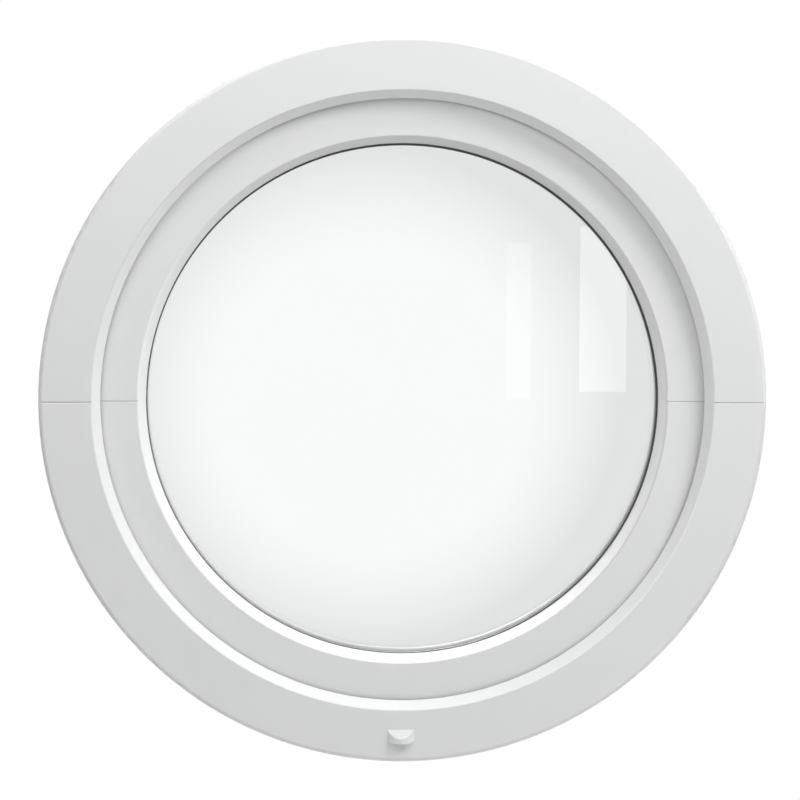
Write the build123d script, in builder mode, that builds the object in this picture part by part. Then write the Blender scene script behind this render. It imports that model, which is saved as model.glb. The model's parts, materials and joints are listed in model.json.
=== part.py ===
from build123d import *
import math
import os

# Round porthole window: a bottom-hung sash that tilts into the room, in a fixed frame ring.
# Both rings are bent from hollow plastic profiles, each welded from an upper and a lower half.
# Millimetres. +X is to the right seen from outside, +Y points into the room and +Z up.
# The origin is the centre of the rim, half-way through the frame's depth.
# A "depth" counts from the outside face towards the room, and a "radius" from the window's axis.
# A clock angle is in degrees from twelve o'clock, clockwise as seen from outside.

# Fixed frame profile
RIM_R = 400.0
FRAME_DEPTH = 70.0
FRAME_FACE = 58.0
FRAME_BEVEL = 9.0
FRAME_BEVEL_DEPTH = 12.0
FRAME_LIP = 13.5
FRAME_LIP_REACH = 22.0
EDGE_ROUND = 5.0
CORNER_ROUND = 2.0
NOSE_ROUND = 0.8
PART_CHAMFER = 0.5
WALL = 3.0
WEB = 2.5
FRONT_CHAMBER_DEPTH = 21.0
MIDDLE_CHAMBER_DEPTH = 25.5

# Sash profile
REBATE_GAP = 12.0
LIP_GAP = 3.0
SASH_FACE = 51.0
SASH_BEVEL = 8.0
SASH_LIP = 19.5
SASH_NOSE_FLAT = 0.5
GLASS_REACH = 14.0
GLAZING_GAP = 5.0
FLANGE_GAP = 3.0
FLANGE = 13.5
FLANGE_REACH = 20.0
BEAD_FACE = 7.0
BEAD_SLOPE_SHARE = 0.6

# Weld seams, left as a fine V where the bead was trimmed off the flat faces
SEAM_HALF_WIDTH = 0.8
SEAM_DEEP = 0.6

# Glass unit and seals
PANE = 4.0
CAVITY = 16.0
SPACER = 7.0
SPACER_SETBACK = 4.5
OUTER_SEAL = 3.5
INNER_SEAL = 3.0
GLAZING_SEAL_SHOW = 1.4
GLAZING_SEAL_WIDTH = 12.0
SEAL_WIDTH = 4.0
SEAL_GROOVE = 2.5
SEAL_SETBACK = 5.0
SEAL_LIP = 1.4
SEAL_LIP_SETBACK = 0.6
BLOCK_LENGTH = 40.0
BLOCK_ANGLES = (30, 90, 150, 210, 270, 330)

# Clearances
SNUG = 0.05
SIDE_CLEAR = 0.15
CLEAR = 0.3
RUN_CLEAR = 0.08

# Drainage
DRAIN_SLOT_LENGTH = 25.0
DRAIN_SLOT_WIDTH = 5.0
DRAIN_SPREAD = 10.0
CAP_WIDTH = 29.5
CAP_HEIGHT = 15.0
CAP_OUT = 6.5
CAP_SLOPE_HEIGHT = 9.5
CAP_WALL = 1.5
CAP_SETBACK = 29.0
CAP_OFFSET = -2.0
CAP_CHAMFER = 5.5
CAP_CHAMFER_HEIGHT = 2.7
CAP_SLOT_WIDTH = 22.0
CAP_TONGUE = 2.0
CAP_TONGUE_LENGTH = 5.0

# Hardware groove round the sash edge, and the drive rod in it
GROOVE_SETBACK = 13.0
SEAT_WIDTH = 16.0
FACEPLATE = 2.5
CHANNEL_WIDTH = 10.0
ROD_WIDTH = 9.4
ROD = 3.2
ROD_HALF_ANGLE = 50.0
FACEPLATE_HALF_ANGLE = 57.0
FACEPLATE_SCREW_ANGLES = (-55.0, -20.0, 20.0, 55.0)

# Gear drive: the hub's teeth run in rack teeth on the inside of the rod
MODULE = 1.5
GEAR_TEETH = 12
PRESSURE_ANGLE = 25.0
BACKLASH = 0.12
RACK_DROP = 2.5
GEAR_WIDTH = 8.0
HUB_JOURNAL_R = 6.5
HANDLE_TURN = 180.0
SPINDLE = 7.0
CASE_HALF_LENGTH = 28.0
CASE_THICKNESS = 12.4
CASE_CHEEK = 1.9
CASE_BELOW = 12.5

# Locking cams and keeps
CAM_ANGLE = 36.0
CAM_NECK_R = 3.0
CAM_HEAD_R = 5.5
CAM_HEAD = 2.5
CAM_PROUD = 6.3
KEEP_HALF_LENGTH = 12.0
KEEP_FOOT_HALF_LENGTH = 20.0
KEEP_FOOT = 2.6
KEEP_LIP = 2.0
KEEP_STANDOFF = 4.0

# Handle
ROSETTE_LENGTH = 65.0
ROSETTE_WIDTH = 30.0
ROSETTE_BASE = 4.5
ROSETTE_CAP = 11.0
ROSETTE_WALL = 1.5
HANDLE_SCREW_SPACING = 43.0
NECK_R = 9.0
LEVER_LENGTH = 108.0
LEVER_HUB_R = 12.5
LEVER_THICKNESS = 13.0
LEVER_STANDOFF = 33.0
LEVER_ROUND = 3.0
LEVER_TIP_ROUND = 2.5
# Oval sections of the grip: share of its length, height, thickness and bow towards the room
LEVER_SECTIONS = (
    (0.0, 17.0, 10.0, 0.0),
    (0.2, 17.0, 10.0, 1.5),
    (0.55, 21.0, 12.0, 5.0),
    (0.85, 20.0, 11.0, 3.5),
    (1.0, 16.0, 8.5, 1.0),
)

# Tilt hinges at the bottom
TILT = 10.0
HINGE_X = 62.0
HINGE_LENGTH = 52.0
HINGE_RISE = 28.0
KNUCKLE_R = 6.5
KNUCKLE_LENGTH = 15.5
HINGE_PIN_R = 3.5
HINGE_PLATE = 3.0
HINGE_POST = 6.0
HINGE_FOOT_LOW = 16.0
HINGE_FOOT_TOP = 6.0
LEAF_NEAR = 20.0
LEAF_FAR = 46.0
LEAF_SCREW_STAGGER = 3.0

# Stays in the rebate gap at three and nine o'clock
STAY_LENGTH = 90.0
STAY_WIDTH = 12.0
STAY_THICKNESS = 3.0
STAY_SETBACK = 25.0
STAY_PIN_R = 3.0
STAY_SLOT_CLEAR = 0.25
STAY_HEAD_R = 5.0
STAY_HEAD = 0.7
RAIL_PROUD = 2.2
RAIL_WIDTH = 14.5
RAIL_END = 24.0
RAIL_SCREW_INSET = 6.0
BRACKET_HALF_LENGTH = 14.0
BRACKET_SCREW_OFFSET = 9.5

# Screws: head radius, shank radius and length
LEAF_SCREW = (4.0, 2.0, 22.0)
PLATE_SCREW = (3.3, 1.7, 14.0)
HANDLE_SCREW = (4.2, 2.5, 36.0)
SCREW_HOLE_CLEAR = 0.1

# Clock angles where the half rings and the bottom lie
HALF_TURN = 180
UPPER_START = -90
LOWER_START = 90
BOTTOM = 180

# Radii and depths that follow from the sizes above
FACE_R = RIM_R - FRAME_FACE
NOSE_R = FACE_R - FRAME_BEVEL
REBATE_R = NOSE_R + FRAME_LIP_REACH
SASH_R = REBATE_R - REBATE_GAP
SASH_FACE_R = SASH_R - SASH_FACE
SASH_NOSE_R = SASH_FACE_R - SASH_BEVEL
PANE_R = SASH_NOSE_R + GLASS_REACH
GLAZING_R = PANE_R + GLAZING_GAP
FLANGE_R = SASH_R + FLANGE_REACH
SASH_FACE_D = FRAME_LIP + LIP_GAP
LIP_BACK_D = SASH_FACE_D + SASH_LIP
OUTER_PANE_D = LIP_BACK_D + OUTER_SEAL
CAVITY_D = OUTER_PANE_D + PANE
INNER_PANE_D = CAVITY_D + CAVITY
INNER_SEAL_D = INNER_PANE_D + PANE
BEAD_D = INNER_SEAL_D + INNER_SEAL
FLANGE_D = FRAME_DEPTH + FLANGE_GAP
SASH_BACK_D = FLANGE_D + FLANGE
BEAD_SLOPE = BEAD_SLOPE_SHARE * (SASH_BACK_D - BEAD_D)
FRAME_SEAL_R = NOSE_R + SEAL_SETBACK
FLANGE_SEAL_R = FLANGE_R - WALL - SEAL_WIDTH
ROD_D = FLANGE_D - GROOVE_SETBACK
SEAT_R = SASH_R - FACEPLATE
ROD_OUT_R = SEAT_R - CLEAR
ROD_IN_R = ROD_OUT_R - ROD
CHANNEL_R = ROD_IN_R - SIDE_CLEAR
CHAMBER_TOP_R = CHANNEL_R - WALL

# Gear and rack geometry
PITCH_R = MODULE * GEAR_TEETH / 2
RACK_COUNT = round(2 * (ROD_IN_R - RACK_DROP) / MODULE)
RACK_R = MODULE * RACK_COUNT / 2
RACK_STEP = 2 * HALF_TURN / RACK_COUNT
RACK_TIP_R = RACK_R - MODULE
RACK_ROOT_R = RACK_R + 1.25 * MODULE
GEAR_TIP_R = PITCH_R + MODULE
GEAR_ROOT_R = PITCH_R - 1.25 * MODULE
BASE_R = PITCH_R * math.cos(math.radians(PRESSURE_ANGLE))
HANDLE_Z = RACK_R - PITCH_R
ROD_TRAVEL = HANDLE_TURN * GEAR_TEETH / RACK_COUNT
ROD_REST = -ROD_TRAVEL / 2
CASE_TOP_R = ROD_IN_R - CLEAR
SPARE_SPACES = 2
FIRST_SPACE = -round(HANDLE_TURN / (2 * HALF_TURN) * GEAR_TEETH) - SPARE_SPACES
SPACE_STEPS = range(FIRST_SPACE, SPARE_SPACES + 1)
RACK_MIDDLE = (FIRST_SPACE + SPARE_SPACES) / 2 * RACK_STEP
RACK_HALF_ANGLE = (len(SPACE_STEPS) / 2 + 0.25) * RACK_STEP

# Tilt axis and stay motion
HINGE_Z = -(RIM_R - HINGE_RISE)
HINGE_D = SASH_BACK_D + KNUCKLE_R
ARM_X = SASH_R + RAIL_PROUD + CLEAR
RAIL_FACE_X = SASH_R + RAIL_PROUD
BRACKET_X = ARM_X + STAY_THICKNESS + CLEAR
STAY_D = FRAME_DEPTH - STAY_SETBACK


def y_at(depth):
    """Place along Y of a depth behind the outside face."""
    return depth - FRAME_DEPTH / 2


def arc_angle(length, radius):
    """Angle in degrees that a length covers on a radius."""
    return math.degrees(length / radius)


def radial_plane(angle):
    """Plane through the window's axis at a clock angle: local x is radius, local y is the Y axis."""
    turn = math.radians(angle)
    outward = (math.sin(turn), 0, math.cos(turn))
    return Plane(origin=(0, 0, 0), x_dir=outward, z_dir=(-math.cos(turn), 0, math.sin(turn)))


def facing_plane(depth):
    """Plane across the window at a depth, x right and y up; a negative extrusion goes into the room."""
    return Plane.XZ.offset(-y_at(depth))


def radial_seat(angle, radius, depth, outward=1):
    """Plane square to a radius: its normal points outward, or to the window's axis with outward=-1."""
    turn = math.radians(angle)
    normal = Vector(math.sin(turn), 0, math.cos(turn))
    origin = normal * radius + Vector(0, y_at(depth), 0)
    return Plane(origin=origin, x_dir=(0, 1, 0), z_dir=normal * outward)


def room_seat(x, z, depth):
    """Plane square to the window's axis at one point, with its normal towards the room."""
    return Plane(origin=(x, y_at(depth), z), x_dir=(1, 0, 0), z_dir=(0, 1, 0))


def side_seat(side, x, z, depth, outward=1):
    """Plane square to X at three o'clock (side 1) or nine o'clock (side -1)."""
    return Plane(origin=(side * x, y_at(depth), z), x_dir=(0, 1, 0), z_dir=(side * outward, 0, 0))


def profile(outline, angle, chambers=()):
    """Closed section on a radial plane. A corner is (radius, depth) or (radius, depth, rounding)."""
    corners = [(corner[0], y_at(corner[1])) for corner in outline]
    rounds = [corner[2] if len(corner) > 2 else 0 for corner in outline]
    with BuildSketch(radial_plane(angle)) as section_face:
        with BuildLine():
            FilletPolyline(*corners, radius=rounds, close=True)
        make_face()
        for chamber in chambers:
            with BuildLine():
                Polyline(*[(radius, y_at(depth)) for radius, depth in chamber], close=True)
            make_face(mode=Mode.SUBTRACT)
    return section_face.sketch


def rectangle_outline(radius_low, radius_high, depth_low, depth_high):
    """Corners of a plain section."""
    return [
        (radius_low, depth_low),
        (radius_high, depth_low),
        (radius_high, depth_high),
        (radius_low, depth_high),
    ]


def ring_sector(outline, middle, half_angle, mode=Mode.ADD):
    """Turn a section about the window's axis, half_angle to each side of a clock angle."""
    revolve(profile(outline, middle - half_angle), axis=Axis.Y, revolution_arc=2 * half_angle, mode=mode)


def weld_groove(inner, outer, face_depth):
    """Cut the V of the trimmed weld bead across a flat face at three and nine o'clock."""
    above = 0.5
    half = SEAM_HALF_WIDTH * (1 + above / SEAM_DEEP)
    top = y_at(face_depth - above)
    for side in (-1, 1):
        with BuildSketch(Plane.YZ.offset(side * inner)) as vee:
            Polygon((top, -half), (y_at(face_depth + SEAM_DEEP), 0), (top, half), align=None)
        extrude(vee.sketch, amount=side * (outer - inner), mode=Mode.SUBTRACT)


def pilot_holes(seats, screw):
    """Drill a hole for a screw at each seat."""
    for seat in seats:
        with Locations(seat):
            Hole(radius=screw[1] + SNUG, depth=screw[2] + 1)


def countersinks(seats, screw, depth):
    """Sink a screw head and its clearance hole into a plate at each seat."""
    for seat in seats:
        with Locations(seat):
            CounterSinkHole(
                radius=screw[1] + SCREW_HOLE_CLEAR,
                counter_sink_radius=screw[0] + SCREW_HOLE_CLEAR,
                depth=depth,
                counter_sink_angle=90,
            )


def add_screws(seats, screw):
    """Add a countersunk screw at each seat, its head flush with the seat plane."""
    head, shank, length = screw
    for seat in seats:
        with BuildSketch(Plane(origin=seat.origin, x_dir=seat.x_dir, z_dir=-seat.y_dir)) as half_section:
            Polygon((0, 0), (head, 0), (shank, shank - head), (shank, shank - length), (0, -length), align=None)
        revolve(half_section.sketch, axis=Axis(seat.origin, seat.z_dir))


def write_piece(piece, name):
    """Label a finished piece and write it as one file."""
    piece.part.label = name
    export_step(piece.part, f"parts/{name}.step")


def bevel_radius(depth):
    """Radius of the sash's outside bevel at a depth."""
    run = SASH_LIP - SASH_NOSE_FLAT
    return SASH_FACE_R - SASH_BEVEL * (depth - SASH_FACE_D) / run


def involute(angle):
    """Involute function of an angle in radians."""
    return math.tan(angle) - angle


def tooth_half_angle(radius):
    """Half the angle, in radians, that a gear tooth covers at a radius."""
    pitch_half = (math.pi * MODULE / 2 - BACKLASH / 2) / (2 * PITCH_R)
    pressure = math.acos(min(1.0, BASE_R / radius))
    return pitch_half + involute(math.radians(PRESSURE_ANGLE)) - involute(pressure)


def flank_point(radius, side):
    """Point of a gear tooth's flank, for a tooth that points along local x."""
    half = tooth_half_angle(max(radius, BASE_R))
    return (radius * math.cos(half), side * radius * math.sin(half))


def pin_in_sash(tilt):
    """Place (y, z) in the closed sash of a stay's pin when the sash is tilted by an angle."""
    turn = math.radians(tilt)
    swing = STAY_RATIO * turn
    y = PIVOT_DY + STAY_LENGTH * math.sin(swing)
    z = PIVOT_DZ + STAY_LENGTH * math.cos(swing)
    y_back = y * math.cos(turn) - z * math.sin(turn)
    z_back = z * math.cos(turn) + y * math.sin(turn)
    return (y_back + y_at(HINGE_D), z_back + HINGE_Z)


# A stay's arm swings so that its pin stays at about one depth in the sash
PIVOT_DY = STAY_D - HINGE_D
PIVOT_DZ = -STAY_LENGTH / 2 - HINGE_Z
FULL_TILT = math.radians(TILT)
PIN_RISE = PIVOT_DY * (1 - math.cos(FULL_TILT)) + PIVOT_DZ * math.sin(FULL_TILT)
STAY_SWING = TILT + math.degrees(math.asin(PIN_RISE / STAY_LENGTH))
STAY_RATIO = STAY_SWING / TILT

RAIL_LOW = pin_in_sash(TILT)[1] - RAIL_END
RAIL_TOP = pin_in_sash(0)[1] + RAIL_END

os.makedirs("parts", exist_ok=True)

# Sections of the two rings
frame_outline = [
    (RIM_R, 0, EDGE_ROUND),
    (FACE_R, 0, CORNER_ROUND),
    (NOSE_R, FRAME_BEVEL_DEPTH, NOSE_ROUND),
    (NOSE_R, FRAME_LIP),
    (FRAME_SEAL_R, FRAME_LIP),
    (FRAME_SEAL_R, FRAME_LIP - SEAL_GROOVE),
    (FRAME_SEAL_R + SEAL_WIDTH, FRAME_LIP - SEAL_GROOVE),
    (FRAME_SEAL_R + SEAL_WIDTH, FRAME_LIP),
    (REBATE_R, FRAME_LIP),
    (REBATE_R, FRAME_DEPTH),
    (RIM_R, FRAME_DEPTH),
]
front_back = WALL + FRONT_CHAMBER_DEPTH
middle_back = front_back + WEB + MIDDLE_CHAMBER_DEPTH
frame_chambers = [
    [
        (FACE_R + WALL, WALL),
        (RIM_R - WALL, WALL),
        (RIM_R - WALL, front_back),
        (REBATE_R + WALL, front_back),
        (REBATE_R + WALL, FRAME_LIP - WALL),
        (FACE_R + WALL, FRAME_LIP - WALL),
    ],
    rectangle_outline(REBATE_R + WALL, RIM_R - WALL, front_back + WEB, middle_back),
    rectangle_outline(REBATE_R + WALL, RIM_R - WALL, middle_back + WEB, FRAME_DEPTH - WALL),
]

seat_low = ROD_D - SEAT_WIDTH / 2
seat_high = ROD_D + SEAT_WIDTH / 2
channel_low = ROD_D - CHANNEL_WIDTH / 2
channel_high = ROD_D + CHANNEL_WIDTH / 2
sash_outline = [
    (SASH_R, SASH_FACE_D, CORNER_ROUND / 2),
    (SASH_FACE_R, SASH_FACE_D, CORNER_ROUND),
    (SASH_NOSE_R, LIP_BACK_D - SASH_NOSE_FLAT),
    (SASH_NOSE_R, LIP_BACK_D),
    (GLAZING_R, LIP_BACK_D),
    (GLAZING_R, SASH_BACK_D),
    (FLANGE_R, SASH_BACK_D, CORNER_ROUND),
    (FLANGE_R, FLANGE_D),
    (FLANGE_SEAL_R + SEAL_WIDTH, FLANGE_D),
    (FLANGE_SEAL_R + SEAL_WIDTH, FLANGE_D + SEAL_GROOVE),
    (FLANGE_SEAL_R, FLANGE_D + SEAL_GROOVE),
    (FLANGE_SEAL_R, FLANGE_D),
    (SASH_R, FLANGE_D),
    (SASH_R, seat_high),
    (SEAT_R, seat_high),
    (SEAT_R, channel_high),
    (CHANNEL_R, channel_high),
    (CHANNEL_R, channel_low),
    (SEAT_R, channel_low),
    (SEAT_R, seat_low),
    (SASH_R, seat_low),
]
case_room = CASE_THICKNESS / 2 + CLEAR
outer_chamber_front = SASH_FACE_D + WALL
outer_chamber_back = seat_low - WEB
room_chamber_front = seat_high + WEB
flange_chamber_front = FLANGE_D + SEAL_GROOVE + WALL
sash_chambers = [
    [
        (bevel_radius(outer_chamber_front) + WALL, outer_chamber_front),
        (SASH_R - WALL, outer_chamber_front),
        (SASH_R - WALL, outer_chamber_back),
        (GLAZING_R + WALL, outer_chamber_back),
        (GLAZING_R + WALL, LIP_BACK_D - WALL),
        (bevel_radius(LIP_BACK_D - WALL) + WALL, LIP_BACK_D - WALL),
    ],
    rectangle_outline(GLAZING_R + WALL, CHAMBER_TOP_R, ROD_D - case_room, ROD_D + case_room),
    [
        (GLAZING_R + WALL, room_chamber_front),
        (CHANNEL_R, room_chamber_front),
        (CHANNEL_R, flange_chamber_front),
        (FLANGE_R - WALL, flange_chamber_front),
        (FLANGE_R - WALL, SASH_BACK_D - WALL),
        (GLAZING_R + WALL, SASH_BACK_D - WALL),
    ],
]

# Screw seats, shared by the screws, the plates that they hold and the walls that they enter
hinge_foot_z = HINGE_Z - HINGE_FOOT_LOW / 2 - KNUCKLE_R / 2
hinge_screw_x = HINGE_LENGTH / 2 - 2 * LEAF_SCREW[0]
hinge_centres = (-HINGE_X, HINGE_X)
hinge_frame_seats = [
    room_seat(centre + offset, hinge_foot_z, FRAME_DEPTH + HINGE_PLATE)
    for centre in hinge_centres
    for offset in (-hinge_screw_x, 0, hinge_screw_x)
]
leaf_middle_z = HINGE_Z + (LEAF_NEAR + LEAF_FAR) / 2
hinge_sash_seats = [
    room_seat(centre + offset, leaf_middle_z + way * LEAF_SCREW_STAGGER, SASH_BACK_D + HINGE_PLATE)
    for centre in hinge_centres
    for offset, way in ((-hinge_screw_x, -1), (0, 1), (hinge_screw_x, -1))
]
faceplate_seats = [radial_seat(angle, SASH_R, ROD_D) for angle in FACEPLATE_SCREW_ANGLES]
handle_screw_seats = [
    room_seat(side * HANDLE_SCREW_SPACING / 2, HANDLE_Z, SASH_BACK_D + ROSETTE_BASE) for side in (-1, 1)
]
locked_shift = ROD_REST + ROD_TRAVEL
keep_angles = {"left": -CAM_ANGLE + locked_shift, "right": CAM_ANGLE + locked_shift}
keep_foot_angle = arc_angle(KEEP_FOOT_HALF_LENGTH, REBATE_R)
keep_screw_angle = keep_foot_angle - arc_angle(PLATE_SCREW[0] + 1, REBATE_R)
keep_foot_r = REBATE_R - KEEP_FOOT
keep_seats = [
    radial_seat(angle + side * keep_screw_angle, keep_foot_r, ROD_D, outward=-1)
    for angle in keep_angles.values()
    for side in (-1, 1)
]
bracket_z = -STAY_LENGTH / 2
sides = {"left": -1, "right": 1}
bracket_seats = [
    side_seat(side, BRACKET_X, bracket_z + offset, STAY_D, outward=-1)
    for side in sides.values()
    for offset in (-BRACKET_SCREW_OFFSET, BRACKET_SCREW_OFFSET)
]
rail_seats = [
    side_seat(side, RAIL_FACE_X, z, STAY_D)
    for side in sides.values()
    for z in (RAIL_LOW + RAIL_SCREW_INSET, RAIL_TOP - RAIL_SCREW_INSET)
]

# Fixed frame: upper and lower half rings
cap_z = CAP_SETBACK - RIM_R
cap_low = cap_z - CAP_HEIGHT / 2
cap_slope_low = cap_low + CAP_HEIGHT - CAP_SLOPE_HEIGHT
cap_cavity_top = cap_low + CAP_HEIGHT - CAP_SLOPE_HEIGHT * (CAP_OUT - CAP_WALL) / CAP_OUT - CAP_WALL
cap_slot_low = cap_low + CAP_WALL / 2
drain_angle = arc_angle(DRAIN_SLOT_LENGTH, REBATE_R) / 2
frame_drain = rectangle_outline(
    REBATE_R - 1, REBATE_R + WALL + 1, FRAME_LIP + 1, FRAME_LIP + 1 + DRAIN_SLOT_WIDTH
)

with BuildPart() as frame_upper:
    revolve(profile(frame_outline, UPPER_START, frame_chambers), axis=Axis.Y, revolution_arc=HALF_TURN)
    weld_groove(FACE_R, RIM_R, 0)
    pilot_holes(keep_seats, PLATE_SCREW)
write_piece(frame_upper, "frame_upper")

with BuildPart() as frame_lower:
    revolve(profile(frame_outline, LOWER_START, frame_chambers), axis=Axis.Y, revolution_arc=HALF_TURN)
    weld_groove(FACE_R, RIM_R, 0)
    pilot_holes(hinge_frame_seats, LEAF_SCREW)
    countersinks(bracket_seats, PLATE_SCREW, PLATE_SCREW[2] + 1)
    for spread in (-DRAIN_SPREAD, DRAIN_SPREAD):
        ring_sector(frame_drain, BOTTOM + spread, drain_angle, mode=Mode.SUBTRACT)
    with Locations((CAP_OFFSET, y_at(WALL / 2), (cap_slot_low + cap_cavity_top) / 2)):
        Box(CAP_SLOT_WIDTH, 2 * WALL, cap_cavity_top - cap_slot_low, mode=Mode.SUBTRACT)
write_piece(frame_lower, "frame_lower")

with BuildPart() as frame_seal:
    seal_low = FRAME_SEAL_R + SNUG
    seal_high = FRAME_SEAL_R + SEAL_WIDTH - SNUG
    seal_tip = SASH_FACE_D - CLEAR
    lip_seal = [
        (seal_low, FRAME_LIP - SEAL_GROOVE + SNUG),
        (seal_high, FRAME_LIP - SEAL_GROOVE + SNUG),
        (seal_high, FRAME_LIP + SNUG),
        (seal_low + SEAL_WIDTH / 2, FRAME_LIP + SEAL_LIP),
        (NOSE_R + SEAL_LIP_SETBACK, seal_tip),
        (NOSE_R + SEAL_LIP_SETBACK, seal_tip - SEAL_LIP),
        (seal_low, FRAME_LIP + SNUG),
    ]
    revolve(profile(lip_seal, 0), axis=Axis.Y)
write_piece(frame_seal, "frame_seal")

# Weep cap: a hood of D-shaped plan whose sloped top meets the curved nose in an arc
with BuildPart() as drain_cap:
    with BuildSketch(Plane.XY.offset(cap_low)):
        with BuildLine():
            ThreePointArc(
                (CAP_OFFSET - CAP_WIDTH / 2, y_at(0)),
                (CAP_OFFSET, y_at(-CAP_OUT)),
                (CAP_OFFSET + CAP_WIDTH / 2, y_at(0)),
            )
            Line((CAP_OFFSET + CAP_WIDTH / 2, y_at(0)), (CAP_OFFSET - CAP_WIDTH / 2, y_at(0)))
        make_face()
    extrude(amount=CAP_HEIGHT)
    with BuildSketch(Plane.YZ.offset(CAP_OFFSET)):
        Polygon(
            (y_at(0), cap_low + CAP_HEIGHT),
            (y_at(-CAP_OUT), cap_slope_low),
            (y_at(-2 * CAP_OUT), cap_slope_low),
            (y_at(-2 * CAP_OUT), cap_low + 2 * CAP_HEIGHT),
            (y_at(0), cap_low + 2 * CAP_HEIGHT),
            align=None,
        )
    extrude(amount=CAP_WIDTH, both=True, mode=Mode.SUBTRACT)
    for side in (-1, 1):
        corner_x = CAP_OFFSET + side * CAP_WIDTH / 2
        with BuildSketch(facing_plane(1)):
            Polygon(
                (corner_x - side * CAP_CHAMFER, cap_low),
                (corner_x, cap_low + CAP_CHAMFER_HEIGHT),
                (corner_x + side, cap_low - 1),
                (corner_x - side * CAP_CHAMFER, cap_low - 1),
                align=None,
            )
        extrude(amount=3 * CAP_OUT, mode=Mode.SUBTRACT)
    with BuildSketch(Plane.XY.offset(cap_low)):
        with BuildLine():
            ThreePointArc(
                (CAP_OFFSET - CAP_WIDTH / 2 + CAP_WALL, y_at(0)),
                (CAP_OFFSET, y_at(CAP_WALL - CAP_OUT)),
                (CAP_OFFSET + CAP_WIDTH / 2 - CAP_WALL, y_at(0)),
            )
            Line(
                (CAP_OFFSET + CAP_WIDTH / 2 - CAP_WALL, y_at(0)),
                (CAP_OFFSET - CAP_WIDTH / 2 + CAP_WALL, y_at(0)),
            )
        make_face()
    extrude(amount=cap_cavity_top - cap_low, mode=Mode.SUBTRACT)
    tongue_x = CAP_SLOT_WIDTH / 2 - CAP_TONGUE / 2 - SIDE_CLEAR
    tongue_low = cap_cavity_top - SIDE_CLEAR - CAP_TONGUE
    for side in (-1, 1):
        with Locations((CAP_OFFSET + side * tongue_x, y_at(0), tongue_low)):
            Box(CAP_TONGUE, CAP_WALL, CAP_TONGUE + 1, align=(Align.CENTER, Align.MAX, Align.MIN))
            Box(CAP_TONGUE, CAP_TONGUE_LENGTH, CAP_TONGUE, align=(Align.CENTER, Align.MIN, Align.MIN))
write_piece(drain_cap, "drain_cap")

# Sash: upper and lower half rings
spindle_clear_r = SPINDLE / math.sqrt(2) + 1
rack_path = rectangle_outline(
    RACK_TIP_R - CLEAR, SASH_R, ROD_D - GEAR_WIDTH / 2 - CLEAR, ROD_D + GEAR_WIDTH / 2 + CLEAR
)
with BuildPart() as sash_upper:
    revolve(profile(sash_outline, UPPER_START, sash_chambers), axis=Axis.Y, revolution_arc=HALF_TURN)
    weld_groove(SASH_FACE_R, SASH_R, SASH_FACE_D)
    with Locations((0, y_at(ROD_D), SASH_R)):
        Box(
            2 * (CASE_HALF_LENGTH + 2),
            2 * case_room,
            2 * (SASH_R - CHAMBER_TOP_R + 2),
            mode=Mode.SUBTRACT,
        )
    ring_sector(rack_path, 0, RACK_HALF_ANGLE + ROD_TRAVEL / 2 + RACK_STEP, mode=Mode.SUBTRACT)
    with Locations(room_seat(0, HANDLE_Z, SASH_BACK_D)):
        Hole(radius=spindle_clear_r, depth=SASH_BACK_D - ROD_D)
    for seat in handle_screw_seats:
        with Locations(seat):
            Hole(radius=HANDLE_SCREW[1] + CLEAR, depth=SASH_BACK_D + ROSETTE_BASE - ROD_D)
    pilot_holes(faceplate_seats, PLATE_SCREW)
    pilot_holes(rail_seats, PLATE_SCREW)
write_piece(sash_upper, "sash_upper")

sash_drain_in = rectangle_outline(
    GLAZING_R - 1, GLAZING_R + WALL + 1, OUTER_PANE_D, OUTER_PANE_D + DRAIN_SLOT_WIDTH
)
sash_drain_out = rectangle_outline(
    SASH_R - WALL - 1, SASH_R + 1, outer_chamber_front + 1, outer_chamber_front + 1 + DRAIN_SLOT_WIDTH
)
with BuildPart() as sash_lower:
    revolve(profile(sash_outline, LOWER_START, sash_chambers), axis=Axis.Y, revolution_arc=HALF_TURN)
    weld_groove(SASH_FACE_R, SASH_R, SASH_FACE_D)
    for spread in (-DRAIN_SPREAD, DRAIN_SPREAD):
        ring_sector(sash_drain_in, BOTTOM + spread, drain_angle, mode=Mode.SUBTRACT)
        ring_sector(sash_drain_out, BOTTOM + 2 * spread, drain_angle, mode=Mode.SUBTRACT)
    pilot_holes(hinge_sash_seats, LEAF_SCREW)
    pilot_holes(rail_seats, PLATE_SCREW)
write_piece(sash_lower, "sash_lower")

with BuildPart() as sash_seal:
    seal_low = FLANGE_SEAL_R + SNUG
    seal_high = FLANGE_SEAL_R + SEAL_WIDTH - SNUG
    seal_tip = FRAME_DEPTH + CLEAR
    flange_seal = [
        (seal_low, FLANGE_D + SEAL_GROOVE - SNUG),
        (seal_high, FLANGE_D + SEAL_GROOVE - SNUG),
        (seal_high, FLANGE_D - SNUG),
        (seal_low + SEAL_WIDTH / 2, seal_tip),
        (seal_low, seal_tip),
    ]
    revolve(profile(flange_seal, 0), axis=Axis.Y)
write_piece(sash_seal, "sash_seal")

# Glass unit: two panes, spacer bar and edge sealant
with BuildPart() as outer_pane:
    with BuildSketch(facing_plane(OUTER_PANE_D)):
        Circle(PANE_R)
    extrude(amount=-PANE)
write_piece(outer_pane, "outer_pane")

with BuildPart() as inner_pane:
    with BuildSketch(facing_plane(INNER_PANE_D)):
        Circle(PANE_R)
    extrude(amount=-PANE)
write_piece(inner_pane, "inner_pane")

spacer_r = PANE_R - SPACER_SETBACK
with BuildPart() as spacer_bar:
    spacer = rectangle_outline(spacer_r - SPACER, spacer_r, CAVITY_D, INNER_PANE_D)
    revolve(profile(spacer, 0), axis=Axis.Y)
write_piece(spacer_bar, "spacer_bar")

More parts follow.
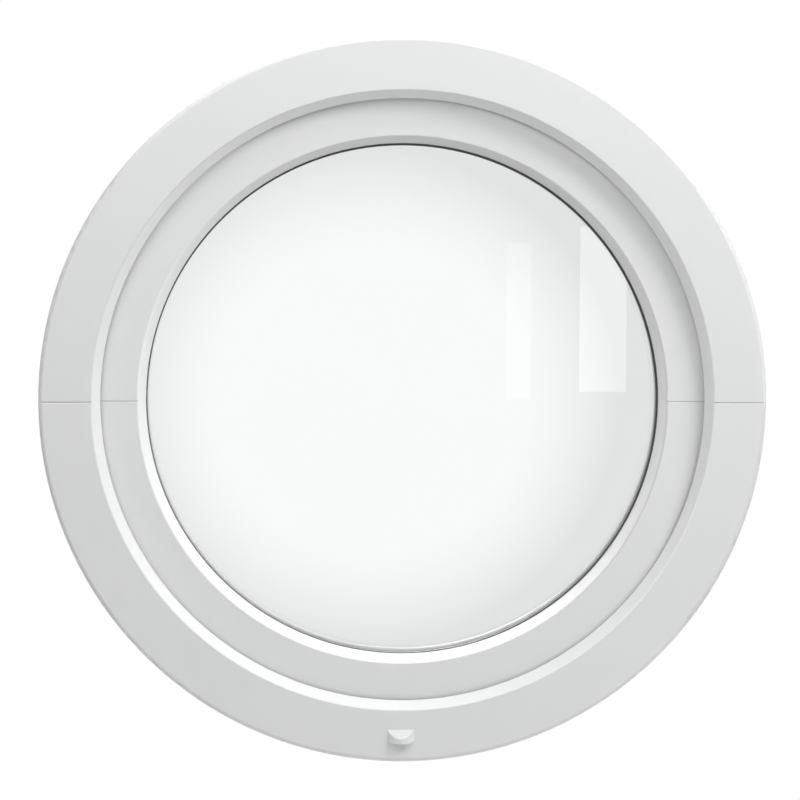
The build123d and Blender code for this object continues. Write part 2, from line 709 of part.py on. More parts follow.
with BuildPart() as edge_sealant:
    sealant = rectangle_outline(spacer_r, PANE_R, CAVITY_D, INNER_PANE_D)
    revolve(profile(sealant, 0), axis=Axis.Y)
write_piece(edge_sealant, "edge_sealant")

with BuildPart() as outer_glazing_seal:
    seal_show_r = SASH_NOSE_R - GLAZING_SEAL_SHOW
    outer_seal = [
        (seal_show_r, OUTER_PANE_D),
        (seal_show_r, OUTER_PANE_D - OUTER_SEAL / 2),
        (SASH_NOSE_R, LIP_BACK_D),
        (seal_show_r + GLAZING_SEAL_WIDTH, LIP_BACK_D),
        (seal_show_r + GLAZING_SEAL_WIDTH, OUTER_PANE_D),
    ]
    revolve(profile(outer_seal, 0), axis=Axis.Y)
write_piece(outer_glazing_seal, "outer_glazing_seal")

with BuildPart() as inner_glazing_seal:
    inner_seal = [
        (SASH_NOSE_R - GLAZING_SEAL_SHOW, INNER_SEAL_D),
        (SASH_NOSE_R - GLAZING_SEAL_SHOW + GLAZING_SEAL_WIDTH, INNER_SEAL_D),
        (SASH_NOSE_R - GLAZING_SEAL_SHOW + GLAZING_SEAL_WIDTH, BEAD_D),
        (SASH_NOSE_R, BEAD_D),
    ]
    revolve(profile(inner_seal, 0), axis=Axis.Y)
write_piece(inner_glazing_seal, "inner_glazing_seal")

with BuildPart() as glazing_blocks:
    block = rectangle_outline(PANE_R + SNUG, GLAZING_R - SNUG, OUTER_PANE_D, INNER_SEAL_D)
    for angle in BLOCK_ANGLES:
        ring_sector(block, angle, arc_angle(BLOCK_LENGTH, PANE_R) / 2)
write_piece(glazing_blocks, "glazing_blocks")

bead_outline = [
    (SASH_NOSE_R, BEAD_D),
    (GLAZING_R - SNUG, BEAD_D),
    (GLAZING_R - SNUG, SASH_BACK_D),
    (GLAZING_R - BEAD_FACE, SASH_BACK_D, CORNER_ROUND),
    (SASH_NOSE_R, SASH_BACK_D - BEAD_SLOPE, NOSE_ROUND),
]
for name, start in (("bead_upper", UPPER_START), ("bead_lower", LOWER_START)):
    with BuildPart() as bead:
        revolve(profile(bead_outline, start), axis=Axis.Y, revolution_arc=HALF_TURN)
    write_piece(bead, name)

# Gearbox case: two cheeks with the hub's bores, open above for the rod's teeth
case_front = ROD_D - CASE_THICKNESS / 2
case_low_z = HANDLE_Z - CASE_BELOW
cheek_gap = CASE_THICKNESS - 2 * CASE_CHEEK
rod_path = rectangle_outline(
    RACK_TIP_R - CLEAR, SASH_R, case_front + CASE_CHEEK, case_front + CASE_THICKNESS - CASE_CHEEK
)
above_case = rectangle_outline(CASE_TOP_R, SASH_R + WALL, case_front - 1, case_front + CASE_THICKNESS + 1)
case_angle = 2 * arc_angle(CASE_HALF_LENGTH, RACK_R)
with BuildPart() as gearbox_case:
    with BuildSketch(facing_plane(case_front)):
        with Locations((0, case_low_z)):
            Rectangle(2 * CASE_HALF_LENGTH, SASH_R - case_low_z, align=(Align.CENTER, Align.MIN))
    extrude(amount=-CASE_THICKNESS)
    ring_sector(above_case, 0, case_angle, mode=Mode.SUBTRACT)
    ring_sector(rod_path, 0, case_angle, mode=Mode.SUBTRACT)
    with BuildSketch(facing_plane(case_front + CASE_CHEEK)):
        with Locations((0, HANDLE_Z)):
            Circle(GEAR_TIP_R + CLEAR)
    extrude(amount=-cheek_gap, mode=Mode.SUBTRACT)
    with Locations(room_seat(0, HANDLE_Z, case_front + CASE_THICKNESS)):
        Hole(radius=HUB_JOURNAL_R + RUN_CLEAR, depth=CASE_THICKNESS)
    for seat in handle_screw_seats:
        with Locations(seat):
            Hole(radius=HANDLE_SCREW[1] + SNUG, depth=SASH_BACK_D)
    case_corners = gearbox_case.edges().filter_by(Axis.Y).group_by(Axis.Z)[0]
    fillet(case_corners, radius=CORNER_ROUND)
write_piece(gearbox_case, "gearbox_case")

# Gear hub: involute teeth on a hub with two journals and the spindle's square hole
with BuildSketch() as gear_tooth:
    flank_radii = [BASE_R + (GEAR_TIP_R - BASE_R) * step / 4 for step in range(5)]
    with BuildLine():
        Line(flank_point(GEAR_ROOT_R - 1, -1), flank_point(BASE_R, -1))
        Spline([flank_point(radius, -1) for radius in flank_radii])
        Line(flank_point(GEAR_TIP_R, -1), flank_point(GEAR_TIP_R, 1))
        Spline([flank_point(radius, 1) for radius in reversed(flank_radii)])
        Line(flank_point(BASE_R, 1), flank_point(GEAR_ROOT_R - 1, 1))
        Line(flank_point(GEAR_ROOT_R - 1, 1), flank_point(GEAR_ROOT_R - 1, -1))
    make_face()

gear_front = ROD_D - GEAR_WIDTH / 2
hub_length = CASE_THICKNESS - 2 * SNUG
square_hole = SPINDLE + 2 * SNUG
with BuildPart() as gear_hub:
    with BuildSketch(facing_plane(gear_front)):
        with Locations((0, HANDLE_Z)):
            Circle(GEAR_ROOT_R)
            with PolarLocations(0, GEAR_TEETH, start_angle=90):
                add(gear_tooth.sketch)
    extrude(amount=-GEAR_WIDTH)
    with BuildSketch(facing_plane(ROD_D - hub_length / 2)):
        with Locations((0, HANDLE_Z)):
            Circle(HUB_JOURNAL_R)
    extrude(amount=-hub_length)
    with BuildSketch(facing_plane(ROD_D - hub_length / 2)):
        with Locations((0, HANDLE_Z)):
            Rectangle(square_hole, square_hole)
    extrude(amount=-hub_length, mode=Mode.SUBTRACT)
write_piece(gear_hub, "gear_hub")

# Drive rod: curved flat bar with rack teeth on its inside
rod_front = ROD_D - ROD_WIDTH / 2
rack_front = ROD_D - GEAR_WIDTH / 2
space_half_width = (math.pi * MODULE / 2 + BACKLASH / 2) / 2
flank_slope = math.tan(math.radians(PRESSURE_ANGLE))
space_bottom = space_half_width - (RACK_ROOT_R - RACK_R) * flank_slope
space_mouth_r = RACK_TIP_R - 0.1
space_mouth = space_half_width + (RACK_R - space_mouth_r) * flank_slope
screw_slot_margin = arc_angle(PLATE_SCREW[1] + 2 * CLEAR, ROD_IN_R)
cam_rest_angles = {"left": -CAM_ANGLE + ROD_REST, "right": CAM_ANGLE + ROD_REST}
with BuildPart() as drive_rod:
    bar = rectangle_outline(ROD_IN_R, ROD_OUT_R, rod_front, rod_front + ROD_WIDTH)
    ring_sector(bar, ROD_REST, ROD_HALF_ANGLE)
    rack = rectangle_outline(RACK_TIP_R, ROD_IN_R + 1, rack_front, rack_front + GEAR_WIDTH)
    ring_sector(rack, RACK_MIDDLE, RACK_HALF_ANGLE)
    with BuildSketch(facing_plane(rack_front - 1)):
        with Locations(*[Location((0, 0, 0), (0, 0, -step * RACK_STEP)) for step in SPACE_STEPS]):
            Polygon(
                (-space_mouth, space_mouth_r),
                (space_mouth, space_mouth_r),
                (space_bottom, RACK_ROOT_R),
                (-space_bottom, RACK_ROOT_R),
                align=None,
            )
    extrude(amount=-(GEAR_WIDTH + 2), mode=Mode.SUBTRACT)
    slot_half_width = PLATE_SCREW[1] + CLEAR
    screw_slot = rectangle_outline(ROD_IN_R - 1, ROD_OUT_R + 1, ROD_D - slot_half_width, ROD_D + slot_half_width)
    for angle in FACEPLATE_SCREW_ANGLES[1:-1]:
        ring_sector(screw_slot, angle + ROD_REST, ROD_TRAVEL / 2 + screw_slot_margin, mode=Mode.SUBTRACT)
    for angle in cam_rest_angles.values():
        with Locations(radial_seat(angle, ROD_OUT_R + 1, ROD_D)):
            Hole(radius=CAM_NECK_R + SNUG, depth=ROD + 2)
write_piece(drive_rod, "drive_rod")

# Mushroom cams, riveted into the rod
cam_head_r = SASH_R + CAM_PROUD
for name, angle in cam_rest_angles.items():
    with BuildPart() as lock_cam:
        with BuildSketch(radial_seat(angle, ROD_IN_R + SIDE_CLEAR, ROD_D)):
            Circle(CAM_NECK_R)
        extrude(amount=cam_head_r - ROD_IN_R - SIDE_CLEAR)
        with BuildSketch(radial_seat(angle, cam_head_r, ROD_D)):
            Circle(CAM_HEAD_R)
        extrude(amount=CAM_HEAD)
        cam_top = lock_cam.faces().filter_by(GeomType.PLANE).sort_by(SortBy.DISTANCE)[-1]
        chamfer(cam_top.edges(), length=PART_CHAMFER)
    write_piece(lock_cam, f"lock_cam_{name}")

# Faceplate: curved cover strip with slots for the cams
with BuildPart() as faceplate:
    strip = rectangle_outline(SEAT_R + SNUG, SASH_R, seat_low + SIDE_CLEAR, seat_high - SIDE_CLEAR)
    ring_sector(strip, 0, FACEPLATE_HALF_ANGLE)
    cam_slot_half_width = CAM_NECK_R + CLEAR
    cam_slot = rectangle_outline(
        SEAT_R - 1, SASH_R + 1, ROD_D - cam_slot_half_width, ROD_D + cam_slot_half_width
    )
    cam_slot_margin = arc_angle(CAM_NECK_R + 2 * CLEAR, SEAT_R)
    for side in (-1, 1):
        ring_sector(cam_slot, side * CAM_ANGLE, ROD_TRAVEL / 2 + cam_slot_margin, mode=Mode.SUBTRACT)
    countersinks(faceplate_seats, PLATE_SCREW, 2 * FACEPLATE)
write_piece(faceplate, "faceplate")

# Keeps on the rebate floor: a foot with two screws and a T-slot that each cam slides into
keep_low_r = SASH_R + KEEP_STANDOFF
keep_slot_r = keep_low_r + KEEP_LIP
keep_slot_top_r = cam_head_r + CAM_HEAD + CLEAR + 0.1
keep_neck = CAM_NECK_R + CLEAR
keep_head = CAM_HEAD_R + CLEAR
keep_outline = [
    (keep_low_r, seat_low),
    (keep_low_r, ROD_D - keep_neck),
    (keep_slot_r, ROD_D - keep_neck),
    (keep_slot_r, ROD_D - keep_head),
    (keep_slot_top_r, ROD_D - keep_head),
    (keep_slot_top_r, ROD_D + keep_head),
    (keep_slot_r, ROD_D + keep_head),
    (keep_slot_r, ROD_D + keep_neck),
    (keep_low_r, ROD_D + keep_neck),
    (keep_low_r, seat_high),
    (REBATE_R - SNUG, seat_high),
    (REBATE_R - SNUG, seat_low),
]
keep_foot = rectangle_outline(keep_foot_r, REBATE_R - SNUG, seat_low, seat_high)
for name, angle in keep_angles.items():
    with BuildPart() as lock_keep:
        ring_sector(keep_outline, angle, arc_angle(KEEP_HALF_LENGTH, REBATE_R))
        ring_sector(keep_foot, angle, keep_foot_angle)
        own_seats = [radial_seat(angle + s * keep_screw_angle, keep_foot_r, ROD_D, outward=-1) for s in (-1, 1)]
        countersinks(own_seats, PLATE_SCREW, 2 * KEEP_FOOT)
    write_piece(lock_keep, f"keep_{name}")

# Handle: rosette base and its cap, lever with its neck, square spindle
cap_fit = 2 * (ROSETTE_WALL + SIDE_CLEAR)
with BuildPart() as handle_rosette:
    with BuildSketch(facing_plane(SASH_BACK_D)):
        with Locations((0, HANDLE_Z)):
            SlotOverall(ROSETTE_LENGTH - cap_fit, ROSETTE_WIDTH - cap_fit)
            Circle(NECK_R + RUN_CLEAR, mode=Mode.SUBTRACT)
    extrude(amount=-ROSETTE_BASE)
    countersinks(handle_screw_seats, HANDLE_SCREW, 2 * ROSETTE_BASE)
write_piece(handle_rosette, "handle_rosette")

with BuildPart() as rosette_cap:
    with BuildSketch(facing_plane(SASH_BACK_D)):
        with Locations((0, HANDLE_Z)):
            SlotOverall(ROSETTE_LENGTH, ROSETTE_WIDTH)
    extrude(amount=-ROSETTE_CAP)
    fillet(rosette_cap.faces().sort_by(Axis.Y)[-1].edges(), radius=CORNER_ROUND)
    with BuildSketch(facing_plane(SASH_BACK_D)):
        with Locations((0, HANDLE_Z)):
            SlotOverall(ROSETTE_LENGTH - 2 * ROSETTE_WALL, ROSETTE_WIDTH - 2 * ROSETTE_WALL)
    extrude(amount=-(ROSETTE_CAP - ROSETTE_WALL), mode=Mode.SUBTRACT)
    with Locations(room_seat(0, HANDLE_Z, SASH_BACK_D + ROSETTE_CAP)):
        Hole(radius=NECK_R + CLEAR, depth=ROSETTE_CAP)
write_piece(rosette_cap, "rosette_cap")

neck_front = SASH_BACK_D + 1
grip_front = SASH_BACK_D + LEVER_STANDOFF
spindle_end = grip_front - NECK_R
grip_middle = grip_front + LEVER_THICKNESS / 2
with BuildPart() as handle_lever:
    with BuildSketch(facing_plane(grip_front)):
        with Locations((0, HANDLE_Z)):
            Circle(LEVER_HUB_R)
    extrude(amount=-LEVER_THICKNESS)
    fillet(handle_lever.faces().filter_by(Axis.Y).edges(), radius=LEVER_ROUND)
    for share, height, thickness, bow in LEVER_SECTIONS:
        grip_place = (share * LEVER_LENGTH, y_at(grip_middle + bow), HANDLE_Z)
        with BuildSketch(Plane(origin=grip_place, x_dir=(0, 0, 1), z_dir=(1, 0, 0))):
            Ellipse(height / 2, thickness / 2)
    loft()
    grip_end = handle_lever.faces().sort_by(Axis.X)[-1]
    fillet(grip_end.edges(), radius=LEVER_TIP_ROUND)
    with BuildSketch(facing_plane(neck_front)):
        with Locations((0, HANDLE_Z)):
            Circle(NECK_R)
    extrude(amount=-(grip_front - neck_front + LEVER_ROUND))
    with BuildSketch(facing_plane(neck_front)):
        with Locations((0, HANDLE_Z)):
            Rectangle(square_hole, square_hole)
    extrude(amount=-(spindle_end - neck_front + SNUG), mode=Mode.SUBTRACT)
write_piece(handle_lever, "handle_lever")

spindle_front = ROD_D - hub_length / 2
with BuildPart() as handle_spindle:
    with BuildSketch(facing_plane(spindle_front)):
        with Locations((0, HANDLE_Z)):
            Rectangle(SPINDLE, SPINDLE)
    extrude(amount=-(spindle_end - spindle_front))
    chamfer(handle_spindle.faces().filter_by(Axis.Y).edges(), length=PART_CHAMFER)
write_piece(handle_spindle, "handle_spindle")

# Tilt hinges: cranked frame leaf with two knuckles, sash leaf with one, and a headed pin
foot_low_z = HINGE_Z - HINGE_FOOT_LOW
foot_top_z = HINGE_Z + HINGE_FOOT_TOP
knuckle_gap = HINGE_LENGTH - 2 * KNUCKLE_LENGTH
for name, side in sides.items():
    centre = side * HINGE_X
    hinge_low_x = centre - HINGE_LENGTH / 2
    with BuildPart() as hinge_frame_leaf:
        with BuildSketch(facing_plane(FRAME_DEPTH)):
            with Locations((centre, (foot_low_z + foot_top_z) / 2)):
                RectangleRounded(HINGE_LENGTH, foot_top_z - foot_low_z, CORNER_ROUND)
        extrude(amount=-HINGE_PLATE)
        for start in (hinge_low_x, centre + HINGE_LENGTH / 2 - KNUCKLE_LENGTH):
            with BuildSketch(Plane.YZ.offset(start)):
                with Locations((y_at(HINGE_D), HINGE_Z)):
                    Circle(KNUCKLE_R)
                with Locations((y_at(FRAME_DEPTH), HINGE_Z - KNUCKLE_R)):
                    Rectangle(HINGE_D - FRAME_DEPTH, HINGE_POST, align=(Align.MIN, Align.MIN))
            extrude(amount=KNUCKLE_LENGTH)
        with BuildSketch(Plane.YZ.offset(hinge_low_x)):
            with Locations((y_at(HINGE_D), HINGE_Z)):
                Circle(HINGE_PIN_R + SNUG)
        extrude(amount=HINGE_LENGTH, mode=Mode.SUBTRACT)
        countersinks([s for s in hinge_frame_seats if s.origin.X * side > 0], LEAF_SCREW, 2 * HINGE_PLATE)
    write_piece(hinge_frame_leaf, f"hinge_frame_leaf_{name}")

    with BuildPart() as hinge_sash_leaf:
        with BuildSketch(facing_plane(SASH_BACK_D)):
            with Locations((centre, leaf_middle_z)):
                RectangleRounded(HINGE_LENGTH, LEAF_FAR - LEAF_NEAR, CORNER_ROUND)
        extrude(amount=-HINGE_PLATE)
        knuckle_start = hinge_low_x + KNUCKLE_LENGTH + CLEAR
        with BuildSketch(Plane.YZ.offset(knuckle_start)):
            with Locations((y_at(HINGE_D), HINGE_Z)):
                Circle(KNUCKLE_R)
            with Locations((y_at(SASH_BACK_D), HINGE_Z)):
                Rectangle(HINGE_PLATE, LEAF_NEAR + 1, align=(Align.MIN, Align.MIN))
        extrude(amount=knuckle_gap - 2 * CLEAR)
        with BuildSketch(Plane.YZ.offset(hinge_low_x)):
            with Locations((y_at(HINGE_D), HINGE_Z)):
                Circle(HINGE_PIN_R + RUN_CLEAR)
        extrude(amount=HINGE_LENGTH, mode=Mode.SUBTRACT)
        countersinks([s for s in hinge_sash_seats if s.origin.X * side > 0], LEAF_SCREW, 2 * HINGE_PLATE)
    write_piece(hinge_sash_leaf, f"hinge_sash_leaf_{name}")

    with BuildPart() as hinge_pin:
        with BuildSketch(Plane.YZ.offset(centre)):
            with Locations((y_at(HINGE_D), HINGE_Z)):
                Circle(HINGE_PIN_R)
        extrude(amount=HINGE_LENGTH / 2, both=True)
        with BuildSketch(Plane.YZ.offset(centre + side * HINGE_LENGTH / 2)):
            with Locations((y_at(HINGE_D), HINGE_Z)):
                Circle(KNUCKLE_R - 1)
        extrude(amount=side * HINGE_PLATE / 2)
    write_piece(hinge_pin, f"hinge_pin_{name}")

# Stays: pivot bracket on the frame, arm with its pin, and slotted rail on the sash
stay_y = y_at(STAY_D)
slot_path = Spline([pin_in_sash(TILT * step / 4) for step in range(5)])
rail_slot_half_width = STAY_PIN_R + STAY_SLOT_CLEAR
rail_front = STAY_D - RAIL_WIDTH / 2 - 1
for name, side in sides.items():
    with BuildPart() as stay_bracket:
        with BuildSketch(Plane.YZ.offset(side * BRACKET_X)):
            with Locations((stay_y, bracket_z)):
                RectangleRounded(RAIL_WIDTH, 2 * BRACKET_HALF_LENGTH, CORNER_ROUND)
        extrude(amount=side * (REBATE_R - BRACKET_X))
        Cylinder(REBATE_R - SNUG, 2 * FRAME_DEPTH, rotation=(90, 0, 0), mode=Mode.INTERSECT)
        with BuildSketch(Plane.YZ.offset(side * BRACKET_X)):
            with Locations((stay_y, bracket_z)):
                Circle(STAY_PIN_R)
        extrude(amount=side * (ARM_X - CLEAR - STAY_HEAD - BRACKET_X))
        with BuildSketch(Plane.YZ.offset(side * (ARM_X - CLEAR))):
            with Locations((stay_y, bracket_z)):
                Circle(STAY_HEAD_R)
        extrude(amount=-side * STAY_HEAD)
        countersinks([s for s in bracket_seats if s.origin.X * side > 0], PLATE_SCREW, REBATE_R - BRACKET_X)
    write_piece(stay_bracket, f"stay_bracket_{name}")

    with BuildPart() as stay_arm:
        with BuildSketch(Plane.YZ.offset(side * ARM_X)):
            with Locations((stay_y, 0)):
                SlotCenterToCenter(STAY_LENGTH, STAY_WIDTH, rotation=90)
            with Locations((stay_y, bracket_z)):
                Circle(STAY_PIN_R + RUN_CLEAR, mode=Mode.SUBTRACT)
            with Locations((stay_y, -bracket_z)):
                Circle(STAY_PIN_R + SNUG, mode=Mode.SUBTRACT)
        extrude(amount=side * STAY_THICKNESS)
    write_piece(stay_arm, f"stay_arm_{name}")

    with BuildPart() as stay_pin:
        pin_start = SASH_R + SIDE_CLEAR
        arm_back = ARM_X + STAY_THICKNESS
        with BuildSketch(Plane.YZ.offset(side * pin_start)):
            with Locations((stay_y, -bracket_z)):
                Circle(STAY_PIN_R)
        extrude(amount=side * (arm_back - pin_start))
        with BuildSketch(Plane.YZ.offset(side * arm_back)):
            with Locations((stay_y, -bracket_z)):
                Circle(STAY_PIN_R + 1)
        extrude(amount=side * STAY_HEAD)
    write_piece(stay_pin, f"stay_pin_{name}")

    with BuildPart() as stay_rail:
        with BuildSketch(Plane.YZ.offset(side * RAIL_FACE_X)):
            with Locations((y_at(rail_front), RAIL_LOW)):
                Rectangle(RAIL_WIDTH, RAIL_TOP - RAIL_LOW, align=(Align.MIN, Align.MIN))
            trace(slot_path, line_width=2 * rail_slot_half_width, mode=Mode.SUBTRACT)
            with Locations(slot_path @ 0, slot_path @ 1):
                Circle(rail_slot_half_width, mode=Mode.SUBTRACT)
        extrude(amount=-side * FLANGE_REACH)
        Cylinder(SASH_R + SNUG, 2 * FRAME_DEPTH, rotation=(90, 0, 0), mode=Mode.SUBTRACT)
        countersinks([s for s in rail_seats if s.origin.X * side > 0], PLATE_SCREW, FLANGE_REACH)
    write_piece(stay_rail, f"stay_rail_{name}")

# Screws, one group for each set of like places
screw_groups = {
    "hinge_screws_frame": (hinge_frame_seats, LEAF_SCREW),
    "hinge_screws_sash": (hinge_sash_seats, LEAF_SCREW),
    "faceplate_screws": (faceplate_seats, PLATE_SCREW),
    "handle_screws": (handle_screw_seats, HANDLE_SCREW),
    "keep_screws": (keep_seats, PLATE_SCREW),
    "stay_bracket_screws": (bracket_seats, PLATE_SCREW),
    "stay_rail_screws": (rail_seats, PLATE_SCREW),
}
for name, (seats, screw) in screw_groups.items():
    with BuildPart() as screws:
        add_screws(seats, screw)
    write_piece(screws, name)
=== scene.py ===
import json
import math

import bmesh
import bpy
import numpy as np
from mathutils import Matrix, Vector


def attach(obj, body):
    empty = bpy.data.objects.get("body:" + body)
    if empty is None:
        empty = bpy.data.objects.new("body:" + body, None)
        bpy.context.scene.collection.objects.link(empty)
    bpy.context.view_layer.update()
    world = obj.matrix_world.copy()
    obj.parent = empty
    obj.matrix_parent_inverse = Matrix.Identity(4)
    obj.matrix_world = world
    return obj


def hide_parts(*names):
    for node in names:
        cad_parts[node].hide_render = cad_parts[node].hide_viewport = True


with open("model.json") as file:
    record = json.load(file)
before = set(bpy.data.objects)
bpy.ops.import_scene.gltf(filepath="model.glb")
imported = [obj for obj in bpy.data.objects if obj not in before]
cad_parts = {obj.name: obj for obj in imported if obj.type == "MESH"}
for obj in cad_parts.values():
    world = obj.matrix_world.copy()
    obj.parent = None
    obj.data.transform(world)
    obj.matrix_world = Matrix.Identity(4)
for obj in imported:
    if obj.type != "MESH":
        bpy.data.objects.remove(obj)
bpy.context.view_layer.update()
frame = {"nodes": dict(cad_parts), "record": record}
nodes = frame["nodes"]


class Value:
    """A node socket on which Python's arithmetic adds Math nodes."""

    def __init__(self, tree, socket):
        self.tree = tree
        self.socket = socket

    def math(self, operation, *others):
        return self.tree.node("ShaderNodeMath", {"operation": operation}, self, *others)[0]

    def __add__(self, other):
        return self.math("ADD", other)

    __radd__ = __add__

    def __sub__(self, other):
        return self.math("SUBTRACT", other)

    def __rsub__(self, other):
        return self.tree.node("ShaderNodeMath", {"operation": "SUBTRACT"}, other, self)[0]

    def __mul__(self, other):
        return self.math("MULTIPLY", other)

    __rmul__ = __mul__

    def __truediv__(self, other):
        return self.math("DIVIDE", other)

    def __pow__(self, other):
        return self.math("POWER", other)

    def clamped(self, low, high):
        return self.math("MAXIMUM", low).math("MINIMUM", high)


# A Light Path node's outputs
IS_CAMERA, IS_SHADOW, IS_GLOSSY, IS_TRANSMISSION = 0, 1, 3, 6

# A Mix node's sockets for colours: factor, A and B, and the result
MIX_COLOUR_INPUTS = (0, 6, 7)
MIX_COLOUR_OUTPUT = 2


class Finish:
    """A material with one Principled shader, and the nodes that vary it."""

    def __init__(self, name, **constants):
        self.material = bpy.data.materials.new(name)
        self.material.use_nodes = True
        self.nodes = self.material.node_tree.nodes
        self.links = self.material.node_tree.links
        self.shader = self.nodes["Principled BSDF"]
        for socket, value in constants.items():
            self.shader.inputs[socket.replace("_", " ")].default_value = value

    def feed(self, socket, value):
        """Link a Value to a socket, or set the socket to a constant."""
        if isinstance(value, Value):
            self.links.new(value.socket, socket)
        else:
            socket.default_value = value

    def node(self, kind, settings, *values, **named):
        """Add a node with its settings and inputs, in order or by name, and return its outputs."""
        made = self.nodes.new(kind)
        for setting, value in settings.items():
            setattr(made, setting, value)
        pairs = list(zip(made.inputs, values))
        pairs += [(made.inputs[name.replace("_", " ")], value) for name, value in named.items()]
        for socket, value in pairs:
            self.feed(socket, value)
        return [Value(self, socket) for socket in made.outputs]

    def place(self):
        """Object coordinates, in metres."""
        return self.node("ShaderNodeTexCoord", {})[3]

    def split(self, vector):
        return self.node("ShaderNodeSeparateXYZ", {}, vector)

    def joined(self, x, y, z):
        return self.node("ShaderNodeCombineXYZ", {}, x, y, z)[0]

    def noise(self, vector, scale, detail=2.0):
        return self.node("ShaderNodeTexNoise", {}, Vector=vector, Scale=scale, Detail=detail)[0]

    def blend(self, share, first, second):
        """Mix two colours."""
        made = self.nodes.new("ShaderNodeMix")
        made.data_type = "RGBA"
        made.clamp_factor = True
        for number, value in zip(MIX_COLOUR_INPUTS, (share, first, second)):
            self.feed(made.inputs[number], value)
        return Value(self, made.outputs[MIX_COLOUR_OUTPUT])

    def bump(self, height, distance):
        return self.node("ShaderNodeBump", {}, Height=height, Distance=distance)[0]

    def set(self, socket, value):
        self.links.new(value.socket, self.shader.inputs[socket])

    def mix_in(self, share, other):
        """Put another shader over the Principled one by a share."""
        mixed = self.nodes.new("ShaderNodeMixShader")
        self.links.new(share.socket, mixed.inputs[0])
        self.links.new(self.shader.outputs[0], mixed.inputs[1])
        self.links.new(other.socket, mixed.inputs[2])
        self.links.new(mixed.outputs[0], self.nodes["Material Output"].inputs[0])

    def near(self, value, middle, reach):
        """A peak of 1 where the value is at the middle, falling to 0 at the reach."""
        return (1.0 - (value - middle).math("ABSOLUTE") / reach).clamped(0.0, 1.0)

    def round_the_axis(self):
        """Object coordinates, and the distance from the window's axis."""
        x, y, z = self.split(self.place())
        radius = (x * x + z * z) ** 0.5
        return x, y, z, radius


# Clear middle of the glass, and the run over which painted shade turns it greyer towards the edge
GLASS_CLEAR_X = -0.035
GLASS_CLEAR_R = 0.17
GLASS_SHADE_RUN = 0.11

# Breathing holes in the spacer bar's inner face, painted dark as painted shade
SPACER_HOLES = 420
SPACER_HOLE_PITCH = 0.0043
SPACER_HOLE = 0.0005
SPACER_HOLE_EDGE = 3.0
SPACER_MIDDLE_Y = 0.0155

# Flat faces of the two rings, and the scraped weld seams that cross them, with a band of painted
# shade just above each seam
FRAME_FACE_Y = -0.035
SASH_FACE_Y = -0.018
FACE_BAND = 0.0008
WELD_HALF_WIDTH = 0.0009
WELD_DEPTH = 0.0003
WELD_SHADE_Z = 0.0007
WELD_SHADE = 1.6

# How much of the light passes through the glass unit's panes as shadow rays
GLASS_LIGHT = 0.93


def grey(value):
    return (value, value, value, 1.0)


def extruded_plastic():
    """White window plastic: satin gloss with die lines that run round with the bent profile."""
    made = Finish("white_profile", Specular_IOR_Level=0.4, IOR=1.5)
    _, y, z, radius = made.round_the_axis()
    lines = made.noise(made.joined(radius, y, 0.0), 900.0, detail=1.0)
    peel = made.noise(made.place(), 260.0, detail=2.0)
    cloud = made.noise(made.place(), 6.0, detail=3.0)
    on_face = made.near(y, FRAME_FACE_Y, FACE_BAND) + made.near(y, SASH_FACE_Y, FACE_BAND)
    weld = made.near(z, 0.0, WELD_HALF_WIDTH) * on_face
    # Painted shade: a grey band just above each weld seam stands in for the shaded upper wall of the
    # seam's groove
    weld_shade = made.near(z, WELD_SHADE_Z, WELD_HALF_WIDTH) * on_face * WELD_SHADE
    plastic_tone = made.blend(cloud, (0.845, 0.85, 0.852, 1), (0.872, 0.876, 0.878, 1))
    made.set("Base Color", made.blend(weld_shade.clamped(0.0, 1.0), plastic_tone, grey(0.5)))
    made.set("Roughness", 0.36 + 0.08 * lines + 0.05 * cloud)
    made.set("Normal", made.bump((lines + peel) * 0.03 - weld, WELD_DEPTH))
    return made.material


def moulded_plastic():
    """Injection-moulded white plastic with a fine spark-eroded grain."""
    made = Finish("white_moulding", IOR=1.5)
    grain = made.noise(made.place(), 2600.0, detail=3.0)
    cloud = made.noise(made.place(), 60.0)
    made.set("Base Color", made.blend(cloud, (0.835, 0.84, 0.842, 1), (0.865, 0.868, 0.87, 1)))
    made.set("Roughness", 0.33 + 0.1 * grain)
    made.set("Normal", made.bump(grain, 0.00003))
    return made.material


def powder_coat():
    """White powder coat on metal: smooth, with a slight orange peel."""
    made = Finish("white_enamel", IOR=1.5)
    peel = made.noise(made.place(), 520.0, detail=1.0)
    cloud = made.noise(made.place(), 40.0)
    made.set("Base Color", made.blend(cloud, (0.85, 0.85, 0.842, 1), (0.878, 0.878, 0.87, 1)))
    made.set("Roughness", 0.22 + 0.1 * peel)
    made.set("Normal", made.bump(peel, 0.00003))
    return made.material


def rubber(name, dark, light):
    """Matt gasket with a little dust in its pores."""
    made = Finish(name, IOR=1.5, Specular_IOR_Level=0.35)
    pores = made.noise(made.place(), 1800.0, detail=3.0)
    dust = made.noise(made.place(), 90.0, detail=4.0)
    made.set("Base Color", made.blend(dust, grey(dark), grey(light)))
    made.set("Roughness", 0.62 + 0.18 * pores)
    made.set("Normal", made.bump(pores, 0.00008))
    return made.material


def sealant():
    """Black sealant, trowelled round the edge of the glass unit."""
    made = Finish("edge_sealant", IOR=1.45)
    trowel = made.noise(made.place(), 150.0, detail=3.0)
    made.set("Base Color", made.blend(trowel, grey(0.022), grey(0.04)))
    made.set("Roughness", 0.55 + 0.2 * trowel)
    made.set("Normal", made.bump(trowel, 0.0003))
    return made.material


